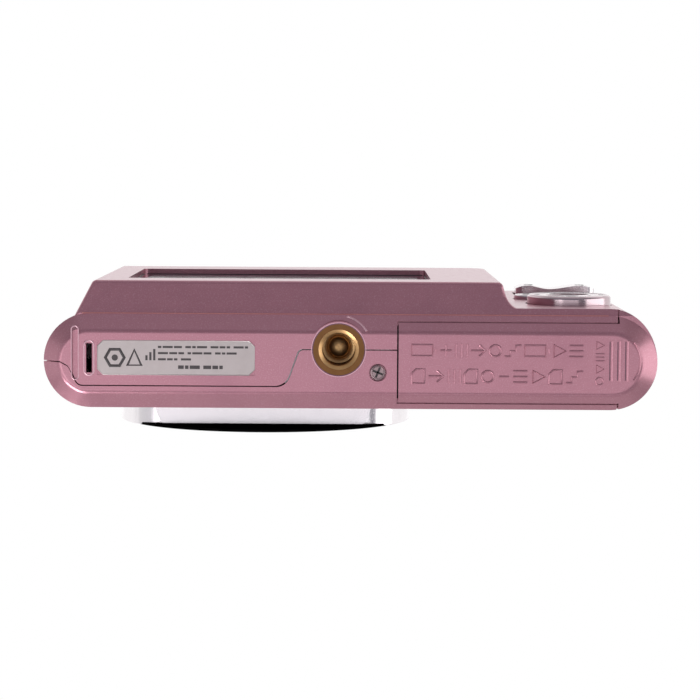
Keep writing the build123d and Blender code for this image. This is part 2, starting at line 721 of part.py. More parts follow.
with BuildPart() as door_carrier:
    add(t_section(1.0, 2.2, 3.0, 4.7, 5.3, -43.9, -42.0))
    add(box(-43.9, -42.0, END_Y - 2.2, END_Y + 2.2, 2.3, 3.1))
    add(box(HINGE_X, -42.0, END_Y - 0.75, END_Y + 0.75, 2.4, 3.1))
    add(rod(END_Y - 0.75, END_Y + 0.75, HINGE_X, HINGE_Z, KNUCKLE_R))
    add(rod(END_Y - 2, END_Y + 2, HINGE_X, HINGE_Z, PIN_R + 0.01), mode=Mode.SUBTRACT)
save(door_carrier, "door_carrier")

with BuildPart() as door_hinge_pin:
    add(rod(END_Y - 1.85, END_Y + 1.85, HINGE_X, HINGE_Z, PIN_R))
save(door_hinge_pin, "door_hinge_pin")

with BuildPart() as battery_door:
    add(wall_part)
    add(door_zone(0), mode=Mode.INTERSECT)
    for side in (-1, 1):
        middle = END_Y + side * 1.4
        add(rod(middle - 0.5, middle + 0.5, HINGE_X, HINGE_Z, KNUCKLE_R))
        add(box(HINGE_X - 0.5, HINGE_X + 0.6, middle - 0.5, middle + 0.5, 2.1, HINGE_Z))
    add(box(HINGE_X - 0.8, -46.3, END_Y - 0.87, END_Y + 0.87, 1.9, 4), mode=Mode.SUBTRACT)
    add(rod(END_Y - 1.9, END_Y + 1.9, HINGE_X, HINGE_Z, PIN_R + 0.05), mode=Mode.SUBTRACT)
    for rib_x in (-36.0, -28.0, -20.0, -12.0):
        add(box(rib_x, rib_x + 0.8, -5.4, 4.2, WALL - 0.1, WALL + 0.45))
save(battery_door, "battery_door")

# ---- buttons on the top ----
with BuildPart() as shutter_button:
    add(pill(SHUTTER_X, TOP_Y, SHUTTER_W, SHUTTER_D, 55.8, HEIGHT + 1.2))
    fillet(shutter_button.edges().group_by(Axis.Z)[-1], 0.7)
    add(pill(SHUTTER_X, TOP_Y, SHUTTER_W + 1.2, SHUTTER_D + 1.2, 55.2, 55.9))
save(shutter_button, "shutter_button")

SPRING_R = 1.5
SPRING_WIRE = 0.2
SPRING_TOP = 55.2 - SPRING_WIRE
SPRING_FOOT = 51.7 + SPRING_WIRE
with BuildPart() as shutter_spring:
    with BuildLine():
        spring_line = Helix(
            pitch=0.9, height=SPRING_TOP - SPRING_FOOT, radius=SPRING_R, center=(SHUTTER_X, TOP_Y, SPRING_FOOT)
        )
    with BuildSketch(Plane(origin=spring_line @ 0, z_dir=spring_line % 0)):
        Circle(SPRING_WIRE)
    sweep(path=spring_line, is_frenet=True)
save(shutter_spring, "shutter_spring")

with BuildPart() as power_button:
    add(pill(POWER_X, TOP_Y, 6.0, 3.0, 55.8, HEIGHT + 0.4))
    fillet(power_button.edges().group_by(Axis.Z)[-1], 0.3)
    add(pill(POWER_X, TOP_Y, 7.0, 4.0, 55.3, 55.9))
save(power_button, "power_button")

with BuildPart() as top_board:
    add(box(-44.0, -11.0, -4.0, 3.0, 51.0, 51.6))
    add(pillar(SHUTTER_X, TOP_Y, 1.0, 51.6, 53.6))
    add(pillar(POWER_X, TOP_Y, 1.2, 51.6, 54.6))
save(top_board, "top_board")

# ---- zoom rocker: raised ends with a dip between them ----
with BuildPart() as zoom_rocker:
    with BuildSketch(Plane.XY.offset(ROCKER_Z - ROCKER_H / 2)):
        half = ROCKER_W / 2
        with BuildLine():
            Polyline(
                (ROCKER_X - half, 9.2),
                (ROCKER_X - half, 7.2),
                (ROCKER_X + half, 7.2),
                (ROCKER_X + half, 9.2),
            )
            Spline(
                (ROCKER_X + half, 9.2),
                (ROCKER_X + half - 2.2, 9.75),
                (ROCKER_X + 1.8, 9.2),
                (ROCKER_X - half + 2.6, 9.75),
                (ROCKER_X - half, 9.2),
            )
        make_face()
    extrude(amount=ROCKER_H)
    fillet(zoom_rocker.edges().filter_by(Axis.Y), 1.2)
    add(box(ROCKER_X - 1.0, ROCKER_X + 1.0, STEM_Y, 7.3, ROCKER_Z - 1.5, ROCKER_Z + 1.5))
save(zoom_rocker, "zoom_rocker")

# ---- navigation ring on its gimbal, and the buttons of the rear panel ----
with BuildPart() as nav_pivot:
    add(disc(NAV_X, NAV_Z, 4.7, 6.05, 6.75, bore=3.7))
save(nav_pivot, "nav_pivot")

with BuildPart() as nav_ring:
    add(disc(NAV_X, NAV_Z, NAV_R, 7.15, 9.6, bore=3.35))
    rim = nav_ring.faces().sort_by(Axis.Y)[-1]
    fillet(rim.outer_wire().edges(), 0.5)
save(nav_ring, "nav_ring")

with BuildPart() as ok_button:
    add(disc(NAV_X, NAV_Z, 2.9, STEM_Y, 9.25))
    fillet(ok_button.faces().sort_by(Axis.Y)[-1].edges(), 0.4)
    add(disc(NAV_X, NAV_Z, 3.3, STEM_Y, STEM_Y + 0.4))
save(ok_button, "ok_button")


def round_button(x):
    """Small round rear button with a flange that keeps it behind the panel."""
    with BuildPart() as button:
        add(disc(x, BUTTON_Z, BUTTON_R, STEM_Y, 8.95))
        fillet(button.faces().sort_by(Axis.Y)[-1].edges(), 0.45)
        add(disc(x, BUTTON_Z, BUTTON_R + 0.45, STEM_Y, STEM_Y + 0.3))
    return button.part


with BuildPart() as menu_button:
    add(round_button(MENU_X))
save(menu_button, "menu_button")

with BuildPart() as playback_button:
    add(round_button(PLAYBACK_X))
save(playback_button, "playback_button")

with BuildPart() as button_board:
    add(box(-44.0, -27.0, BOARD_Y, BOARD_Y + 0.6, 9.0, 50.5))
save(button_board, "button_board")

SWITCHES = (
    (MENU_X, BUTTON_Z),
    (PLAYBACK_X, BUTTON_Z),
    (NAV_X, NAV_Z),
    (NAV_X - 5.3, NAV_Z),
    (NAV_X + 5.3, NAV_Z),
    (NAV_X, NAV_Z - 5.3),
    (NAV_X, NAV_Z + 5.3),
    (ROCKER_X - 4.5, ROCKER_Z),
    (ROCKER_X + 4.5, ROCKER_Z),
)
with BuildPart() as key_switches:
    for switch_x, switch_z in SWITCHES:
        add(disc(switch_x, switch_z, 1.5, BOARD_Y + 0.6, BOARD_Y + 0.6 + SWITCH_T))
save(key_switches, "key_switches")

# ---- port cover on the +X end ----
with BuildPart() as port_cover:
    edge = GAP
    add(
        end_skin(
            END_R - PORT_DEPTH,
            END_R,
            PORT_Y[0] + edge,
            PORT_Y[1] - edge,
            PORT_Z[0] + edge,
            PORT_Z[1] - edge,
        )
    )
save(port_cover, "port_cover")

print("pieces written:", len(os.listdir("parts")))
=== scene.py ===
import json
import math

import bmesh
import bpy
from mathutils import Matrix, Vector


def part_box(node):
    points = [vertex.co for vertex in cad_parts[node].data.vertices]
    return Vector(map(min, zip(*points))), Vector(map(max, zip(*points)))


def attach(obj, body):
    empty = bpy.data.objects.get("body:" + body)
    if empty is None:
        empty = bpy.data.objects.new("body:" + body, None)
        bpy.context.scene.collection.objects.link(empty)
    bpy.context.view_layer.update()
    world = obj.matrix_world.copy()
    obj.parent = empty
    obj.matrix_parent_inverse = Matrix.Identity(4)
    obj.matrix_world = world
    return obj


# Compact digital camera seen from below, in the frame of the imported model: +Z up, the lens looks along
# -Y, the display along +Y, and the battery door is at the -X end. Camera, floor and lights are placed in
# metres. The detail pieces are drawn in millimetres.

MM = 0.001
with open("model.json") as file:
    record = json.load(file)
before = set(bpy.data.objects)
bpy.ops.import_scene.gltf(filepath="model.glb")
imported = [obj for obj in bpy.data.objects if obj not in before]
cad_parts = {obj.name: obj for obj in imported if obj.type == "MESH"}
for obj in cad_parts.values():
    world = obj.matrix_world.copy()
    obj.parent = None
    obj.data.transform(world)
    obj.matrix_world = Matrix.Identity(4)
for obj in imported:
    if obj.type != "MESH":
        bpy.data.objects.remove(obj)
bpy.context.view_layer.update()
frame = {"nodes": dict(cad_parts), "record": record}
nodes = frame["nodes"]


# ---- camera, floor and light ----
def make_camera():
    """Close view from under the camera body, with the display edge up in the picture."""
    place = Vector((0.00062, 0.03206, -0.39235))
    forward = Vector((-0.00127, -0.07758, 0.99699)).normalized()
    roll = math.radians(0.35)
    right = Vector((-math.cos(roll), math.sin(roll), 0))
    right = (right - forward * right.dot(forward)).normalized()
    up = right.cross(forward)
    data = bpy.data.cameras.new("view_from_below")
    data.sensor_width = 36
    data.lens = 127.54
    data.clip_start = 0.005
    data.clip_end = 50
    camera = bpy.data.objects.new("view_from_below", data)
    bpy.context.scene.collection.objects.link(camera)
    camera.matrix_world = Matrix((
        (right.x, up.x, -forward.x, place.x),
        (right.y, up.y, -forward.y, place.y),
        (right.z, up.z, -forward.z, place.z),
        (0, 0, 0, 1),
    ))
    bpy.context.scene.camera = camera


def area_light(name, place, target, size, power, colour=(1, 1, 1)):
    """Soft box at a place, facing a target."""
    data = bpy.data.lights.new(name, "AREA")
    data.shape = "RECTANGLE"
    data.size, data.size_y = size
    data.energy = power
    data.color = colour
    light = bpy.data.objects.new(name, data)
    bpy.context.scene.collection.objects.link(light)
    light.location = place
    light.rotation_euler = (Vector(target) - Vector(place)).to_track_quat("-Z", "Y").to_euler()
    return light


def link(tree, source, target):
    tree.links.new(source, target)


def make_world():
    """White backdrop for the eye; for the object, bright above and dim below."""
    world = bpy.data.worlds.new("studio")
    bpy.context.scene.world = world
    world.use_nodes = True
    tree = world.node_tree
    tree.nodes.clear()
    output = tree.nodes.new("ShaderNodeOutputWorld")
    seen = tree.nodes.new("ShaderNodeBackground")
    seen.inputs["Color"].default_value = (1, 1, 1, 1)
    seen.inputs["Strength"].default_value = 1.0
    lighting = tree.nodes.new("ShaderNodeBackground")
    coords = tree.nodes.new("ShaderNodeTexCoord")
    split = tree.nodes.new("ShaderNodeSeparateXYZ")
    ramp = tree.nodes.new("ShaderNodeValToRGB")
    height = tree.nodes.new("ShaderNodeMapRange")
    height.inputs["From Min"].default_value = -1
    height.inputs["From Max"].default_value = 1
    stops = ramp.color_ramp.elements
    stops[0].position, stops[0].color = 0.0, (0.25, 0.25, 0.285, 1)
    stops[1].position, stops[1].color = 0.72, (1.0, 1.0, 1.0, 1)
    middle = stops.new(0.5)
    middle.color = (0.34, 0.34, 0.35, 1)
    path = tree.nodes.new("ShaderNodeLightPath")
    mix = tree.nodes.new("ShaderNodeMixShader")
    link(tree, coords.outputs["Generated"], split.inputs["Vector"])
    link(tree, split.outputs["Z"], height.inputs["Value"])
    link(tree, height.outputs["Result"], ramp.inputs["Fac"])
    link(tree, ramp.outputs["Color"], lighting.inputs["Color"])
    link(tree, path.outputs["Is Camera Ray"], mix.inputs["Fac"])
    link(tree, lighting.outputs["Background"], mix.inputs[1])
    link(tree, seen.outputs["Background"], mix.inputs[2])
    link(tree, mix.outputs["Shader"], output.inputs["Surface"])


def make_floor():
    """Pale floor under the camera body. It is clear from below, where the picture is taken."""
    mesh = bpy.data.meshes.new("floor")
    reach = 3.0
    mesh.from_pydata(
        [(-reach, -reach, 0), (reach, -reach, 0), (reach, reach, 0), (-reach, reach, 0)], [], [(0, 1, 2, 3)]
    )
    floor = bpy.data.objects.new("floor", mesh)
    bpy.context.scene.collection.objects.link(floor)
    floor.location.z = -0.00016
    mat = bpy.data.materials.new("floor")
    mat.use_nodes = True
    tree = mat.node_tree
    shader = tree.nodes["Principled BSDF"]
    shader.inputs["Base Color"].default_value = (0.86, 0.86, 0.86, 1)
    shader.inputs["Roughness"].default_value = 0.6
    clear = tree.nodes.new("ShaderNodeBsdfTransparent")
    side = tree.nodes.new("ShaderNodeNewGeometry")
    mix = tree.nodes.new("ShaderNodeMixShader")
    link(tree, side.outputs["Backfacing"], mix.inputs["Fac"])
    link(tree, shader.outputs["BSDF"], mix.inputs[1])
    link(tree, clear.outputs["BSDF"], mix.inputs[2])
    link(tree, mix.outputs["Shader"], tree.nodes["Material Output"].inputs["Surface"])
    mesh.materials.append(mat)
    floor.visible_shadow = False
    floor.visible_diffuse = False
    floor.visible_glossy = False
    floor.visible_transmission = False


bpy.context.scene.view_settings.view_transform = "Standard"
make_camera()
make_world()
make_floor()
area_light("side_plus_x", (0.42, -0.02, -0.10), (0, 0, 0.02), (0.35, 0.5), 0.2)
area_light("side_minus_x", (-0.42, 0.0, -0.08), (0, 0, 0.02), (0.35, 0.5), 0.95)
area_light("below_front", (0.0, -0.09, -0.49), (0, 0, 0.0), (0.5, 0.25), 0.35)
area_light("below_plus_x", (0.24, -0.08, -0.42), (0, 0, 0.0), (0.25, 0.22), 0.25)
area_light("far_front", (0.0, -0.40, -0.30), (0, 0, 0.0), (0.5, 0.10), 0.10)
area_light("corner_plus_x", (0.26, -0.34, -0.20), (0, 0, 0.0), (0.25, 0.22), 1.4)
area_light("above_rear", (0.0, 0.15, 0.65), (0, 0, 0.03), (0.7, 0.5), 0.15)
area_light("rear_low", (0.0, 0.5, -0.15), (0, 0, 0.02), (0.6, 0.3), 0.12, (0.86, 0.88, 1.0))
area_light("front_low", (0.0, -0.5, 0.0), (0, 0, 0.02), (0.8, 0.4), 0.17)


# ---- materials ----
class Finish:
    """A material and short ways to add to its node tree."""

    def __init__(self, name, colour, roughness, metallic=0.0):
        self.mat = bpy.data.materials.new(name)
        self.mat.use_nodes = True
        self.tree = self.mat.node_tree
        self.shader = self.tree.nodes["Principled BSDF"]
        self.colour = (*colour, 1)
        self.set("Base Color", self.colour)
        self.set("Roughness", roughness)
        self.set("Metallic", metallic)
        self.coords = self.node("ShaderNodeTexCoord").outputs["Object"]

    def set(self, socket, value):
        self.shader.inputs[socket].default_value = value

    def node(self, kind, **values):
        made = self.tree.nodes.new(kind)
        for key, value in values.items():
            setattr(made, key, value)
        return made

    def link(self, source, target):
        self.tree.links.new(source, target)

    def stretched(self, scale):
        """Object coordinates scaled differently along each axis."""
        mapping = self.node("ShaderNodeMapping")
        mapping.inputs["Scale"].default_value = scale
        self.link(self.coords, mapping.inputs["Vector"])
        return mapping.outputs["Vector"]

    def noise(self, scale, detail=3.0, coords=None):
        """Noise value about 0.5, with this many cells per metre."""
        made = self.node("ShaderNodeTexNoise")
        made.inputs["Scale"].default_value = scale
        made.inputs["Detail"].default_value = detail
        self.link(coords or self.coords, made.inputs["Vector"])
        return made.outputs["Fac"]

    def spread(self, value, low, high, from_low=0.3, from_high=0.7):
        """Value rescaled to low..high."""
        made = self.node("ShaderNodeMapRange")
        made.inputs["From Min"].default_value = from_low
        made.inputs["From Max"].default_value = from_high
        made.inputs["To Min"].default_value = low
        made.inputs["To Max"].default_value = high
        self.link(value, made.inputs["Value"])
        return made.outputs["Result"]

    def vary_colour(self, value, other, low=0.3, high=0.7):
        """Colour running from the base colour to another one as value rises."""
        mix = self.node("ShaderNodeMix", data_type="RGBA")
        source = self.shader.inputs["Base Color"]
        if source.is_linked:
            self.link(source.links[0].from_socket, mix.inputs[6])
        else:
            mix.inputs[6].default_value = self.colour
        mix.inputs[7].default_value = (*other, 1)
        self.link(self.spread(value, 0, 1, low, high), mix.inputs[0])
        self.link(mix.outputs[2], source)

    def vary_roughness(self, value, low, high, from_low=0.3, from_high=0.7):
        self.link(self.spread(value, low, high, from_low, from_high), self.shader.inputs["Roughness"])

    def bump(self, value, depth, strength=1.0):
        """Raised and sunk surface, depth in metres between value 0 and 1."""
        made = self.node("ShaderNodeBump")
        made.inputs["Distance"].default_value = depth
        made.inputs["Strength"].default_value = strength
        source = self.shader.inputs["Normal"]
        if source.is_linked:
            self.link(source.links[0].from_socket, made.inputs["Normal"])
        self.link(value, made.inputs["Height"])
        self.link(made.outputs["Normal"], source)


def metallic_lacquer(name, colour, light, dark, metallic=0.7):
    """Fine metal flakes under a clear coat, with faint clouding."""
    finish = Finish(name, colour, 0.30, metallic)
    finish.vary_colour(finish.noise(5200, 1.0), light, 0.52, 0.82)
    finish.vary_colour(finish.noise(70, 3.0), dark, 0.55, 1.4)
    finish.vary_roughness(finish.noise(900, 1.0), 0.28, 0.33)
    finish.bump(finish.noise(5200, 1.0), 0.0000015)
    finish.set("Coat Weight", 0.25)
    finish.set("Coat Roughness", 0.16)
    return finish.mat


def turned_metal(name, colour, roughness, dark, rings=9000, axis_scale=(1, 1, 1)):
    """Machined metal with fine turning marks and darker patches."""
    finish = Finish(name, colour, roughness, 1.0)
    grain = finish.noise(rings, 2.0, finish.stretched(axis_scale))
    finish.vary_roughness(grain, roughness * 0.75, roughness * 1.3)
    finish.vary_colour(finish.noise(500, 4.0), dark, 0.45, 0.9)
    finish.bump(grain, 0.000004)
    return finish.mat


def moulded_plastic(name, colour, roughness, grain_depth, lift=1.35):
    """Plastic with fine moulded grain and slight wear in its shine."""
    finish = Finish(name, colour, roughness)
    lighter = tuple(min(1, part * lift + 0.004) for part in colour)
    finish.vary_colour(finish.noise(600, 4.0), lighter, 0.45, 0.9)
    finish.vary_roughness(finish.noise(300, 4.0), roughness * 0.85, roughness * 1.2)
    finish.bump(finish.noise(5000, 2.0), grain_depth)
    return finish.mat


def clear_glass(name, tint, coating=None):
    """Glass with a faint coating colour in soft patches."""
    finish = Finish(name, tint, 0.03)
    finish.set("Transmission Weight", 0.92)
    finish.set("IOR", 1.5)
    finish.vary_roughness(finish.noise(900, 3.0), 0.015, 0.04)
    if coating:
        finish.vary_colour(finish.noise(90, 1.0), coating, 0.35, 0.75)
    return finish.mat


PINK = (0.45, 0.20, 0.25)
PINK_LIGHT = (0.54, 0.29, 0.34)
PINK_DARK = (0.32, 0.135, 0.19)

materials = {
    "case_paint": metallic_lacquer("case_paint", PINK, PINK_LIGHT, PINK_DARK),
    "brass": turned_metal("brass", (0.205, 0.098, 0.040), 0.38, (0.16, 0.076, 0.030)),
    "steel": turned_metal("steel", (0.55, 0.55, 0.56), 0.34, (0.45, 0.45, 0.47)),
    "screw_steel": turned_metal("screw_steel", (0.34, 0.25, 0.26), 0.30, (0.28, 0.20, 0.21)),
    "drum_silver": turned_metal("drum_silver", (0.90, 0.86, 0.88), 0.22, (0.85, 0.81, 0.83)),
    "trim_chrome": turned_metal("trim_chrome", (0.84, 0.83, 0.85), 0.10, (0.78, 0.77, 0.80)),
    "button_chrome": turned_metal("button_chrome", (0.66, 0.60, 0.62), 0.16, (0.60, 0.54, 0.56)),
    "ring_metal": turned_metal("ring_metal", (0.56, 0.44, 0.47), 0.18, (0.50, 0.38, 0.42)),
    "tube_metal": turned_metal("tube_metal", (0.55, 0.55, 0.57), 0.26, (0.48, 0.48, 0.50)),
    "switch_dome": turned_metal("switch_dome", (0.6, 0.6, 0.6), 0.3, (0.45, 0.45, 0.45)),
    "reflector_foil": turned_metal("reflector_foil", (0.88, 0.88, 0.88), 0.12, (0.75, 0.75, 0.76)),
    "label_foil": turned_metal(
        "label_foil", (0.52, 0.46, 0.455), 0.42, (0.47, 0.41, 0.405), 2500, (1, 12, 1)
    ),
    "black_gloss": moulded_plastic("black_gloss", (0.004, 0.004, 0.004), 0.10, 0.0000005, 1.1),
    "black_plastic": moulded_plastic("black_plastic", (0.018, 0.018, 0.020), 0.48, 0.000008, 1.15),
    "black_satin": moulded_plastic("black_satin", (0.012, 0.012, 0.014), 0.32, 0.000004, 1.15),
    "display_glass": moulded_plastic("display_glass", (0.012, 0.008, 0.010), 0.05, 0.0000004, 1.1),
    "sensor_ceramic": moulded_plastic("sensor_ceramic", (0.08, 0.06, 0.10), 0.3, 0.000003),
    "circuit_board": moulded_plastic("circuit_board", (0.02, 0.11, 0.05), 0.35, 0.000006),
    "battery_wrap": moulded_plastic("battery_wrap", (0.05, 0.05, 0.06), 0.35, 0.000004),
    "card_plastic": moulded_plastic("card_plastic", (0.02, 0.04, 0.14), 0.4, 0.000005),
    "lamp_lens": moulded_plastic("lamp_lens", (0.50, 0.10, 0.03), 0.12, 0.000002),
    "cover_rubber": moulded_plastic("cover_rubber", (0.42, 0.215, 0.27), 0.45, 0.000010),
    "lens_glass": clear_glass("lens_glass", (0.80, 0.86, 0.90), (0.55, 0.62, 0.95)),
    "clear_window": clear_glass("clear_window", (0.92, 0.92, 0.90)),
}
# looks of single pieces, used in place of the material of the slot named with each piece
label_ink = moulded_plastic("label_ink", (0.060, 0.050, 0.052), 0.55, 0.000002)
# painted shade: dark pink for gaps and grooves, where only shade falls
painted_groove_shade = moulded_plastic("painted_groove_shade", (0.16, 0.07, 0.10), 0.6, 0.000003)
picture_area = moulded_plastic("picture_area", (0.030, 0.026, 0.034), 0.12, 0.0000004, 1.1)
backing_black = moulded_plastic("backing_black", (0.0012, 0.0012, 0.0012), 0.9, 0.000002, 1.0)
# painted highlight: a lighter, more orange copy of the case paint for the crease line
crease_highlight_paint = metallic_lacquer(
    "crease_highlight_paint", (0.56, 0.22, 0.22), (0.62, 0.28, 0.28), (0.45, 0.16, 0.17), 0.3
)
# painted highlight: a lighter pink copy of the case paint for raised rims
rim_highlight_paint = metallic_lacquer(
    "rim_highlight_paint", (0.74, 0.45, 0.52), (0.80, 0.55, 0.60), (0.62, 0.36, 0.42), 0.3
)
# painted highlight: a much lighter brass than the socket's own, for its lip and bottom
lip_brass_highlight = turned_metal("lip_brass_highlight", (0.70, 0.43, 0.20), 0.42, (0.58, 0.35, 0.16))

# how strongly the dark surfaces mirror; 0.5 is plain plastic
for dark_look, level in ((materials["display_glass"], 0.2), (picture_area, 0.1), (backing_black, 0.0)):
    dark_look.node_tree.nodes["Principled BSDF"].inputs["Specular IOR Level"].default_value = level

slot_of = {entry["node"]: entry["material_slot"] for entry in frame["record"]["subparts"]}
for name, obj in nodes.items():
    obj.data.materials.clear()
    obj.data.materials.append(materials[slot_of[name]])


# ---- detail pieces ----
def millimetres(node):
    """Lowest and highest corner of a CAD node, in millimetres."""
    low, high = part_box(node)
    return Vector(low) / MM, Vector(high) / MM


def circle(radius, count=24, u=0.0, v=0.0, start=0.0, sweep=360.0):
    """Points on a circle, or on an arc when sweep is less than a full turn."""
    steps = count if sweep == 360.0 else count - 1
    angles = (math.radians(start + sweep * step / steps) for step in range(count))
    return [(u + radius * math.cos(angle), v + radius * math.sin(angle)) for angle in angles]


def rectangle(u0, u1, v0, v1):
    """Corners of a rectangle, in order."""
    return [(u0, v0), (u1, v0), (u1, v1), (u0, v1)]


def stadium(u, v, half_width, half_height, count=10):
    """Upright slot shape: straight sides and round ends."""
    straight = half_height - half_width
    top = circle(half_width, count, u, v + straight, 0, 180)
    bottom = circle(half_width, count, u, v - straight, 180, 180)
    return top + bottom


def stadium_flat(half_width, half_height, count=14):
    """Slot shape lying along u."""
    straight = half_width - half_height
    right = circle(half_height, count, straight, 0, -90, 180)
    left = circle(half_height, count, -straight, 0, 90, 180)
    return right + left


def middle(node):
    """Centre of a CAD node's box, in millimetres."""
    low, high = millimetres(node)
    return (low + high) / 2


class Shape:
    """Mesh made in millimetres on a plane: u and v lie in the plane and h stands out of it."""

    def __init__(self, origin, u_axis, v_axis, h_axis):
        self.origin = Vector(origin)
        self.axes = (Vector(u_axis), Vector(v_axis), Vector(h_axis))
        self.mesh = bmesh.new()

    def vertex(self, u, v, h):
        u_axis, v_axis, h_axis = self.axes
        return self.mesh.verts.new((self.origin + u_axis * u + v_axis * v + h_axis * h) * MM)

    def prism(self, outline, low, high, bevel=0.0):
        """Closed outline pushed from height low to high, with its upper edge drawn in by bevel."""
        middle_u = sum(point[0] for point in outline) / len(outline)
        middle_v = sum(point[1] for point in outline) / len(outline)
        reach = max(math.hypot(u - middle_u, v - middle_v) for u, v in outline)
        shrink = 1 - bevel / reach
        base = [self.vertex(u, v, low) for u, v in outline]
        top = [
            self.vertex(middle_u + (u - middle_u) * shrink, middle_v + (v - middle_v) * shrink, high)
            for u, v in outline
        ]
        self.mesh.faces.new(base)
        self.mesh.faces.new(top)
        self.skin(base, top, True)

    def skin(self, first, second, closed):
        """Faces between two rows of vertices, and from their ends back to their starts if closed."""
        count = len(first)
        for step in range(count if closed else count - 1):
            following = (step + 1) % count
            self.mesh.faces.new((first[step], first[following], second[following], second[step]))

    def bead(self, path, radius, lift=0.0, closed=False, sides=8):
        """Round bead along a path in the plane, its middle at height lift."""
        rings = []
        count = len(path)
        for step, (u, v) in enumerate(path):
            before = path[step - 1] if step or closed else path[0]
            after = path[(step + 1) % count] if step + 1 < count or closed else path[-1]
            along = Vector((after[0] - before[0], after[1] - before[1])).normalized()
            across = Vector((-along.y, along.x))
            ring = []
            for side in range(sides):
                angle = math.tau * side / sides
                out = radius * math.cos(angle)
                rise = lift + radius * math.sin(angle)
                ring.append(self.vertex(u + across.x * out, v + across.y * out, rise))
            rings.append(ring)
        for first, second in zip(rings, rings[1:]):
            self.skin(first, second, True)
        if closed:
            self.skin(rings[-1], rings[0], True)
        else:
            self.mesh.faces.new(rings[0])
            self.mesh.faces.new(rings[-1])

    def lathe(self, profile, u=0.0, v=0.0, count=72):
        """Closed profile of (radius, height) points turned about the h direction."""
        rings = []
        for step in range(count):
            angle = math.tau * step / count
            cosine, sine = math.cos(angle), math.sin(angle)
            rings.append([self.vertex(u + radius * cosine, v + radius * sine, h) for radius, h in profile])
        for step in range(count):
            self.skin(rings[step], rings[(step + 1) % count], True)

    def done(self, name, slot, body, look=None, sharp=40):
        """Finish the mesh as a piece that rides on a body."""
        bmesh.ops.recalc_face_normals(self.mesh, faces=self.mesh.faces)
        mesh = bpy.data.meshes.new(name)
        self.mesh.to_mesh(mesh)
        self.mesh.free()
        mesh.shade_smooth()
        mesh.set_sharp_from_angle(angle=math.radians(sharp))
        mesh.materials.append(look or materials[slot])
        piece = bpy.data.objects.new(name, mesh)
        bpy.context.scene.collection.objects.link(piece)
        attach(piece, body)
        return piece


def below(z=0.0, x=0.0, y=0.0):
    """Plane of the underside: u along X, v along Y, h downwards."""
    return Shape((x, y, z), (1, 0, 0), (0, 1, 0), (0, 0, -1))


def behind(y, x=0.0, z=0.0):
    """Plane at the back: u along X, v along Z, h backwards."""
    return Shape((x, y, z), (1, 0, 0), (0, 0, 1), (0, 1, 0))


def ahead(y, x=0.0, z=0.0):
    """Plane at the front: u along X, v along Z, h forwards."""
    return Shape((x, y, z), (1, 0, 0), (0, 0, 1), (0, -1, 0))


def above(z, x=0.0, y=0.0):
    """Plane on the top: u along X, v along Y, h upwards."""
    return Shape((x, y, z), (1, 0, 0), (0, 1, 0), (0, 0, 1))


def sideways(x, side, y=0.0, z=0.0):
    """Plane at one end: u along Y, v along Z, h outwards."""
    return Shape((x, y, z), (0, 1, 0), (0, 0, 1), (side, 0, 0))


# icons as strokes in a cell one unit high: (closed, points)
ICONS = {
    "cell": [(True, rectangle(0, 1.5, 0.1, 0.9)), (False, [(1.75, 0.35), (1.75, 0.65)])],
    "plus": [(False, [(0.05, 0.5), (0.85, 0.5)]), (False, [(0.45, 0.1), (0.45, 0.9)])],
    "minus": [(False, [(0.1, 0.5), (0.8, 0.5)])],
    "arrow": [(False, [(0, 0.5), (1.0, 0.5)]), (False, [(0.6, 0.9), (1.05, 0.5), (0.6, 0.1)])],
    "card": [(True, [(0, 0), (0.9, 0), (0.9, 1), (0.3, 1), (0, 0.7)])],
    "bars": [(False, [(u, 0), (u, 1)]) for u in (0.1, 0.5, 0.9)],
    "ring": [(True, circle(0.42, 14, 0.45, 0.5))],
    "wedge": [(True, [(0.1, 0.05), (0.95, 0.5), (0.1, 0.95)])],
    "steps": [(False, [(0, 0.1), (0.4, 0.1), (0.4, 0.5), (0.8, 0.5), (0.8, 0.9), (1.2, 0.9)])],
    "rails": [(False, [(0, v), (1.0, v)]) for v in (0.1, 0.5, 0.9)],
}


def icon_width(icon):
    """Width of an icon, in parts of its cell's height."""
    return max(point[0] for _, path in ICONS[icon] for point in path)


def icon_row(shape, icons, start, base, height, reach, radius, lift):
    """Icons spread evenly over a length along -u from start."""
    free = reach - sum(icon_width(icon) * height for icon in icons)
    gap = free / (len(icons) - 1)
    u = start
    for icon in icons:
        for closed, path in ICONS[icon]:
            placed = [(u - point[0] * height, base + point[1] * height) for point in path]
            shape.bead(placed, radius, lift, closed)
        u -= icon_width(icon) * height + gap


# ---- underside ----
# millimetres: where the CAD has the same screw, strap slot, groove, seam and display block
SCREW_X, SCREW_Y, SCREW_FACE_Z = -4.33, -2.06, 0.25
STRAP_X, STRAP_Y = 41.54, 0.02
GROOVE_X, GROOVE_Y = 43.78, 0.83
SEAM_Y = -0.7
BLOCK_FOOT_Y, BLOCK_FOOT_Z = 7.05, 2.3
BAND_START_Y = 4.45
BAND_SLOPE = 2.3 / 2.6


